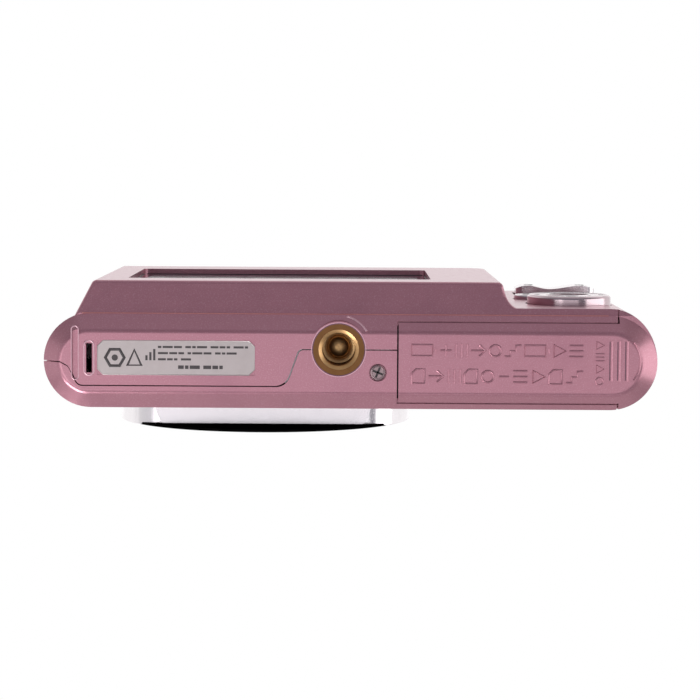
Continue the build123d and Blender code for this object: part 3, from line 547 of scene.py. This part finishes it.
def tripod_socket_detail():
    """Conical lip, thread and domed bottom of the brass socket, with the gap and rim round it. The lip and
    the domed bottom are a much lighter brass as a painted highlight, the gap ring is dark as painted shade,
    and the rim is a lighter pink as a painted highlight.
    """
    low, high = millimetres("tripod_socket")
    centre = middle("tripod_socket")
    bore, crest = 3.2, 2.62
    lip = below(low.z, centre.x, centre.y)
    lip.lathe([
        (3.48, -0.05), (3.46, 0.0), (2.78, -0.42),
        (crest, -0.6), (crest, -0.95), (bore, -0.95), (bore, -0.1),
    ])
    # lip in lighter brass, a painted highlight
    lip.done("socket_lip", "brass", "case", lip_brass_highlight)
    edge = (high.x - low.x) / 2
    gap = below(0.0, centre.x, centre.y)
    gap.lathe([(edge - 0.07, -0.1), (edge - 0.07, 0.015), (edge + 0.08, 0.015), (edge + 0.08, -0.1)])
    # dark ring of painted shade in the gap round the socket
    gap.done("socket_gap_shade", "brass", "case", painted_groove_shade)
    rim = below(0.0, centre.x, centre.y)
    rim.lathe([(edge + 0.09, -0.1), (edge + 0.11, 0.03), (edge + 0.19, 0.03), (edge + 0.23, -0.1)])
    # rim in lighter pink, a painted highlight
    rim.done("collar_rim", "case_paint", "case", rim_highlight_paint)
    pitch = 1.27
    first_turn, last_turn = 1.3, 6.2
    steps_per_turn = 48
    thread = below(low.z, centre.x, centre.y)
    sections = []
    for step in range(int((last_turn - first_turn) / pitch * steps_per_turn)):
        angle = math.tau * step / steps_per_turn
        depth = first_turn + pitch * step / steps_per_turn
        sections.append([
            thread.vertex(radius * math.cos(angle), radius * math.sin(angle), -depth - rise)
            for radius, rise in ((bore + 0.02, -0.55), (crest, -0.12), (crest, 0.12), (bore + 0.02, 0.55))
        ])
    for first, second in zip(sections, sections[1:]):
        thread.skin(first, second, True)
    thread.mesh.faces.new(sections[0])
    thread.mesh.faces.new(sections[-1])
    thread.done("socket_thread", "brass", "case")
    floor = below(low.z, centre.x, centre.y)
    floor_r, floor_depth = bore - 0.02, -6.79
    dome_r, dome_rise, dome_foot = 1.75, 0.9, -6.75
    turns = [math.radians(angle) for angle in range(0, 90, 10)]
    dome = [(dome_r * math.cos(turn), dome_foot + dome_rise * math.sin(turn)) for turn in turns]
    shoulder = [(floor_r, floor_depth), (floor_r, -6.35), (2.5, -6.3), (2.0, -6.5)]
    pole = [(0.02, dome_foot + dome_rise), (0.02, floor_depth)]
    floor.lathe(shoulder + dome + pole)
    # domed bottom in lighter brass, a painted highlight
    floor.done("socket_floor", "brass", "case", lip_brass_highlight)


def label_print():
    """Plain marks and rows of short bars, in place of what a rating label says."""
    low, high = millimetres("rating_label")
    top_row = high.y - 1.0
    shape = below(low.z)
    hexagon_x, hexagon_y = high.x - 2.75, 0.1
    shape.bead(circle(1.5, 6, hexagon_x, hexagon_y), 0.34, -0.2, True)
    shape.prism(circle(0.5, 20, hexagon_x, hexagon_y), -0.02, 0.015)
    triangle = [(high.x - 4.75, -1.1), (high.x - 6.95, -1.1), (high.x - 5.85, 1.35)]
    shape.bead(triangle, 0.32, -0.18, True)
    for column in range(3):
        right = high.x - 7.6 - 0.62 * column
        shape.prism(rectangle(right - 0.36, right, -0.3, 0.5 + 0.5 * column), -0.02, 0.015)
    # each row: distance below the first, start and end from the label's edge, bar height
    rows = (
        (0.0, 9.6, 23.9, 0.34),
        (-0.98, 9.6, 22.8, 0.34),
        (-1.96, 9.6, 15.3, 0.34),
        (-3.2, 12.8, 20.6, 0.56),
    )
    for index, (drop, first, last, tall) in enumerate(rows):
        offset = first
        bar = 0
        while offset < last - 0.4:
            length = 0.55 + 0.35 * ((bar * 7 + index * 3) % 4)
            length = min(length, last - offset)
            u = high.x - offset
            v = top_row + drop
            shape.prism(rectangle(u - length, u, v - tall / 2, v + tall / 2), -0.02, 0.012)
            offset += length + (0.55 if bar % 3 == 2 else 0.2)
            bar += 1
    shape.done("label_print", "black_satin", "case", label_ink)
    edge = below(low.z)
    corner = 0.9
    outline = [
        (low.x + corner, low.y), (high.x - corner, low.y),
        (high.x, low.y + corner), (high.x, high.y - corner),
        (high.x - corner, high.y), (low.x + corner, high.y),
        (low.x, high.y - corner), (low.x, low.y + corner),
    ]
    edge.bead(outline, 0.07, -0.02, True)
    edge.done("label_edge", "label_foil", "case")


def door_relief():
    """Raised icons, grip ridges and the arc of the thumb rest on the battery door, with dark strips of
    painted shade beside the ridges.
    """
    start = millimetres("battery_door")[1].x - 2.1
    reach, stroke, sunk = 27.2, 0.19, -0.05
    shape = below()
    battery_icons = ("cell", "plus", "bars", "arrow", "ring", "steps", "cell", "wedge", "rails")
    icon_row(shape, battery_icons, start, 0.45, 2.2, reach, stroke, sunk)
    card_icons = ("card", "arrow", "bars", "card", "ring", "minus", "rails", "wedge", "card", "steps")
    icon_row(shape, card_icons, start, -3.7, 2.25, reach, stroke, sunk)
    shape.done("door_icons", "case_paint", "door")
    column = below()
    column_x, size = -38.9, 1.4
    for base, icon in ((-3.9, "ring"), (-2.0, "wedge"), (-0.1, "rails"), (1.8, "wedge")):
        for closed, path in ICONS[icon]:
            placed = [(column_x - point[0] * size, base + point[1] * size) for point in path]
            column.bead(placed, 0.13, -0.045, closed)
    column.done("door_slide_mark", "case_paint", "door")
    grip = below()
    ridges = (-41.5, -42.75, -44.0)
    for u in ridges:
        grip.bead([(u, -3.2), (u, 3.2)], 0.2, -0.07)
    grip.bead(circle(4.75, 18, -41.3, 0.0, 140, 80), 0.2, -0.06)
    grip.done("door_grip", "case_paint", "door")
    shade = below()
    for ridge in ridges:
        u = ridge + 0.35
        shade.prism(rectangle(u - 0.09, u + 0.09, -3.1, 3.1), -0.02, 0.006)
    # dark strips of painted shade beside the ridges
    shade.done("door_grip_groove_shade", "case_paint", "door", painted_groove_shade)


def collar_arc():
    """Fine raised arc of the case round the socket, lying on the sloping band, painted a lighter pink than
    the case as a painted highlight.
    """
    centre = middle("tripod_socket")
    shape = below(0.0, centre.x, centre.y)
    section = ((-0.22, -0.2), (-0.1, 0.1), (0.1, 0.1), (0.22, -0.2))
    reach = 5.3
    rings = []
    for degrees in range(104, 149, 3):
        cosine, sine = math.cos(math.radians(degrees)), math.sin(math.radians(degrees))
        depth = max(0.0, centre.y + reach * sine - BAND_START_Y) * BAND_SLOPE
        rings.append([
            shape.vertex((reach + out) * cosine, (reach + out) * sine, rise - depth) for out, rise in section
        ])
    for first, second in zip(rings, rings[1:]):
        shape.skin(first, second, True)
    shape.mesh.faces.new(rings[0])
    shape.mesh.faces.new(rings[-1])
    # arc in lighter pink, a painted highlight
    shape.done("collar_arc", "case_paint", "case", rim_highlight_paint)


def seam_gaskets():
    """Dark gasket in the seam between the two shells, set just below the skin of each end."""
    cover_low, cover_high = millimetres("port_cover")
    seam = behind(SEAM_Y)
    for inner_x, outer_x, foot_z, top_z in (
        (47.6, 48.86, 9.5, cover_low.z - 0.5),
        (47.6, 48.86, cover_high.z + 0.5, 55.3),
        (-48.86, -47.6, 12.0, 55.3),
    ):
        seam.prism(rectangle(inner_x, outer_x, foot_z, top_z), 0.02, 0.16)
    seam.done("seam_gaskets", "black_plastic", "case")


def door_gap_backing():
    """Dark strip inside the case behind the inner gap of the battery door."""
    low, high = millimetres("battery_door")
    shape = below(1.62)
    shape.prism(rectangle(high.x - 0.5, high.x + 0.9, low.y + 2.2, high.y - 3.0), 0.0, 0.12)
    shape.done("door_gap_backing", "black_plastic", "case")


def crease_bead():
    """Fine rounded crease where the flank of the display block meets the band, painted lighter and more
    orange than the case as a painted highlight.
    """
    shape = below(BLOCK_FOOT_Z, 0.0, BLOCK_FOOT_Y)
    shape.bead([(42.9 - 2.0 * step, 0.0) for step in range(43)], 0.10)
    # lighter, more orange paint on the crease, a painted highlight
    shape.done("crease", "case_paint", "case", crease_highlight_paint)


def strap_and_groove_rims():
    """Softened rims of the strap slot and of the groove beside it, painted a lighter pink than the case as a
    painted highlight.
    """
    shape = below()
    shape.bead(stadium(STRAP_X, STRAP_Y, 0.78, 2.75), 0.13, -0.05, True)
    # slot rim in lighter pink, a painted highlight
    shape.done("strap_slot_rim", "case_paint", "case", rim_highlight_paint)
    groove = below()
    groove.bead(stadium(GROOVE_X, GROOVE_Y, 0.56, 4.25), 0.09, -0.03, True)
    # groove rim in lighter pink, a painted highlight
    groove.done("groove_rim", "case_paint", "case", rim_highlight_paint)


def screw_detail(origin, u_axis, v_axis, h_axis, name):
    """Rolled edge of a screw head."""
    shape = Shape(origin, u_axis, v_axis, h_axis)
    shape.lathe([(1.24, -0.2), (1.24, 0.0), (1.12, 0.09), (0.98, 0.09), (0.9, 0.0), (0.9, -0.2)], count=48)
    shape.done(name + "_edge", "screw_steel", "case")


def screws():
    """Edges of the bottom screw and the four end screws, and the bottom one's cross recess, filled dark as
    painted shade.
    """
    place = (SCREW_X, SCREW_Y, SCREW_FACE_Z)
    screw_detail(place, (1, 0, 0), (0, 1, 0), (0, 0, -1), "bottom_screw")
    head = below(SCREW_FACE_Z, SCREW_X, SCREW_Y)
    turn = math.atan2(0.4, 1)
    arm_length, arm_width = 0.8, 0.15
    for quarter in (0, 1):
        angle = turn + quarter * math.pi / 2
        along = Vector((math.cos(angle), math.sin(angle))) * arm_length
        across = Vector((-math.sin(angle), math.cos(angle))) * arm_width
        corners = [along * a + across * b for a, b in ((-1, -1), (1, -1), (1, 1), (-1, 1))]
        head.prism([tuple(corner) for corner in corners], -0.44, -0.2)
    # dark cross of painted shade in the screw recess
    head.done("bottom_screw_recess", "screw_steel", "case", label_ink)
    face_x, screw_y = 48.45, 1.0
    for side, side_name in ((-1, "left"), (1, "right")):
        for z in (13, 46):
            name = f"end_screw_{side_name}_{z}"
            screw_detail((side * face_x, screw_y, z), (0, 1, 0), (0, 0, 1), (side, 0, 0), name)


# ---- back ----
def display_detail():
    """Picture area under the display cover and the cover's fine rim."""
    low, high = millimetres("display_window")
    area = behind(high.y)
    area.prism(rectangle(low.x + 1.6, high.x - 1.6, low.z + 1.5, high.z - 1.7), -0.02, 0.01)
    area.done("display_area", "display_glass", "case", picture_area)
    rim = behind(high.y)
    rim.bead(rectangle(low.x + 0.12, high.x - 0.12, low.z + 0.12, high.z - 0.12), 0.12, -0.05, True)
    rim.done("display_rim", "black_satin", "case")


def nav_marks():
    """Small arrows round the navigation ring, its polished edges, and the ring on the OK button."""
    centre = middle("nav_ring")
    face_y = millimetres("nav_ring")[1].y
    marks = behind(face_y, centre.x, centre.z)
    for turn in range(4):
        angle = math.radians(90 * turn)
        outward = Vector((math.cos(angle), math.sin(angle)))
        across = Vector((-outward.y, outward.x))
        tip = outward * 5.7
        corners = [tip, outward * 4.9 + across * 0.65, outward * 4.9 - across * 0.65]
        marks.prism([tuple(corner) for corner in corners], -0.02, 0.02)
    marks.done("nav_marks", "black_satin", "nav", label_ink)
    edges = behind(face_y, centre.x, centre.z)
    edges.lathe([(3.35, -0.5), (3.35, 0.05), (3.5, 0.14), (3.7, 0.05), (3.75, -0.5)])
    edges.lathe([(6.25, -0.05), (6.3, 0.06), (6.45, 0.08), (6.58, 0.0), (6.5, -0.2)])
    edges.done("nav_edges", "button_chrome", "nav")
    dish = behind(millimetres("ok_button")[1].y, centre.x, centre.z)
    dish.lathe([(1.5, -0.02), (1.6, 0.05), (1.75, 0.05), (1.85, -0.02)], count=48)
    dish.done("ok_ring_mark", "black_satin", "ok", label_ink)


def rear_button_marks():
    """Marks of the two rear buttons and the rocker, and the status lamp."""
    centre = middle("menu_button")
    bars = behind(millimetres("menu_button")[1].y, centre.x, centre.z)
    for v in (-0.8, 0.0, 0.8):
        bars.prism(rectangle(-1.0, 1.0, v - 0.16, v + 0.16), -0.02, 0.02)
    bars.done("menu_mark", "black_satin", "menu", label_ink)
    centre = middle("playback_button")
    wedge = behind(millimetres("playback_button")[1].y, centre.x, centre.z)
    wedge.prism([(0.8, 0.95), (0.8, -0.95), (-1.0, 0.0)], -0.02, 0.02)
    wedge.done("playback_mark", "black_satin", "playback", label_ink)
    low, high = millimetres("zoom_rocker")
    centre = middle("zoom_rocker")
    signs = behind(high.y, centre.x, centre.z)
    reach = (high.x - low.x) / 2 - 2.4
    signs.prism(rectangle(reach - 0.75, reach + 0.75, -0.14, 0.14), -0.06, 0.02)
    signs.prism(rectangle(-reach - 0.75, -reach + 0.75, -0.14, 0.14), -0.06, 0.02)
    signs.prism(rectangle(-reach - 0.14, -reach + 0.14, -0.75, 0.75), -0.06, 0.02)
    signs.done("rocker_signs", "black_satin", "zoom", label_ink)
    lamp = behind(8.15, -30.3, 36.0)
    lamp.lathe([(0.02, -0.3), (0.02, 0.12), (0.3, 0.1), (0.5, 0.0), (0.55, -0.3)], count=32)
    lamp.done("status_lamp", "lamp_lens", "case")


# ---- top ----
def top_marks():
    """Power mark, rim of the shutter button and the collar round it."""
    centre = middle("power_button")
    power = above(millimetres("power_button")[1].z, centre.x, centre.y)
    power.bead(circle(0.75, 20, 0, 0, 120, 300), 0.08, 0.0)
    power.bead([(0.0, 0.25), (0.0, 1.0)], 0.08, 0.0)
    power.done("power_mark", "black_satin", "power", label_ink)
    centre = middle("shutter_button")
    dish = above(millimetres("shutter_button")[1].z, centre.x, centre.y)
    dish.bead(stadium_flat(4.35, 2.05), 0.1, -0.02, True)
    dish.done("shutter_ring", "button_chrome", "shutter")
    case_top = 58.0
    collar = above(case_top, centre.x, centre.y)
    collar.bead(stadium_flat(6.0, 3.7), 0.22, -0.05, True)
    collar.done("shutter_collar", "trim_chrome", "case")


# ---- front ----
def lens_detail():
    """Polished and blackened rings on the lens, fine rings on the front plate, and its dull back."""
    low, high = millimetres("lens_front_plate")
    centre = middle("lens_front_plate")
    plate = ahead(low.y, centre.x, centre.z)
    plate.lathe([(21.9, -0.05), (22.0, 0.05), (22.2, 0.05), (22.3, -0.05)], count=120)
    plate.lathe([(15.2, -0.05), (15.3, 0.06), (15.5, 0.06), (15.6, -0.05)], count=96)
    plate.done("plate_rings", "black_gloss", "case")
    backing = behind(high.y, centre.x, centre.z)
    bore_r, edge_r, wrap_r = 14.4, 24.03, 24.08
    backing.lathe([
        (bore_r, -0.02), (bore_r, 0.03), (wrap_r, 0.03),
        (wrap_r, -0.37), (edge_r, -0.37), (edge_r, -0.02),
    ], count=120)
    backing.done("plate_backing", "black_satin", "case", backing_black)
    trim = ahead(millimetres("lens_trim_ring")[0].y, centre.x, centre.z)
    trim.lathe([(12.75, -0.3), (12.8, 0.05), (13.1, 0.3), (13.9, 0.3), (14.25, 0.08), (14.3, -0.3)], count=96)
    trim.done("trim_crown", "trim_chrome", "case")
    outer = ahead(millimetres("lens_outer_tube")[0].y, centre.x, centre.z)
    outer.lathe([(10.5, -0.2), (10.55, 0.02), (11.9, 0.02), (11.95, -0.2)], count=96)
    for ring in range(6):
        depth = -1.6 - 0.7 * ring
        ridge = [(12.35, -0.16), (12.46, -0.08), (12.46, 0.08), (12.35, 0.16)]
        outer.lathe([(radius, depth + rise) for radius, rise in ridge], count=96)
    outer.done("outer_tube_rings", "tube_metal", "lens_outer")
    inner_face_y = millimetres("lens_inner_tube")[0].y
    inner = ahead(inner_face_y, centre.x, centre.z)
    inner.lathe([(9.0, -0.2), (9.05, 0.06), (9.75, 0.06), (9.85, -0.2)], count=96)
    inner.done("inner_tube_crown", "trim_chrome", "lens_inner")
    baffle = ahead(inner_face_y, centre.x, centre.z)
    for ring in range(4):
        outer_r = 7.85 - 0.38 * ring
        front = -0.15 - 0.2 * ring
        foot = front - 0.25
        step = [(outer_r, front), (outer_r - 0.3, front), (outer_r - 0.38, foot), (outer_r, foot)]
        baffle.lathe(step, count=96)
    baffle.done("baffle_steps", "black_satin", "lens_inner")


def flash_ribs():
    """Fine upright ribs and frame of the flash window, and the focus lamp's bezel."""
    low, high = millimetres("flash_window")
    ribs = ahead(low.y)
    count = 22
    pitch = (high.x - low.x - 0.8) / count
    for rib in range(count):
        u = low.x + 0.4 + pitch * (rib + 0.5)
        ribs.bead([(u, low.z + 0.3), (u, high.z - 0.3)], pitch * 0.36, 0.0, sides=6)
    ribs.done("flash_ribs", "clear_window", "case")
    frame_edge = ahead(low.y)
    frame_edge.bead(rectangle(low.x - 0.1, high.x + 0.1, low.z - 0.1, high.z + 0.1), 0.16, -0.05, True)
    frame_edge.done("flash_frame", "trim_chrome", "case")
    lamp = middle("focus_lamp")
    bezel = ahead(millimetres("focus_lamp")[0].y, lamp.x, lamp.z)
    bezel.lathe([(1.35, -0.1), (1.4, 0.12), (1.6, 0.14), (1.75, -0.1)], count=48)
    bezel.done("lamp_bezel", "trim_chrome", "case")


# ---- ends ----
def cover_marks():
    """Finger ridges and a small plain arrow on the port cover."""
    low, high = millimetres("port_cover")
    shape = sideways(high.x, 1, (low.y + high.y) / 2)
    for row in range(3):
        v = high.z - 1.2 - 0.8 * row
        shape.bead([(-1.1, v), (1.1, v)], 0.16, -0.06)
    shape.bead([(0.0, 24.0), (0.0, 29.0)], 0.1, -0.03)
    shape.bead([(-0.7, 27.6), (0.0, 29.0), (0.7, 27.6)], 0.1, -0.05)
    shape.done("cover_marks", "cover_rubber", "cover")


tripod_socket_detail()
label_print()
door_relief()
collar_arc()
seam_gaskets()
door_gap_backing()
crease_bead()
strap_and_groove_rims()
screws()
display_detail()
nav_marks()
rear_button_marks()
top_marks()
lens_detail()
flash_ribs()
cover_marks()
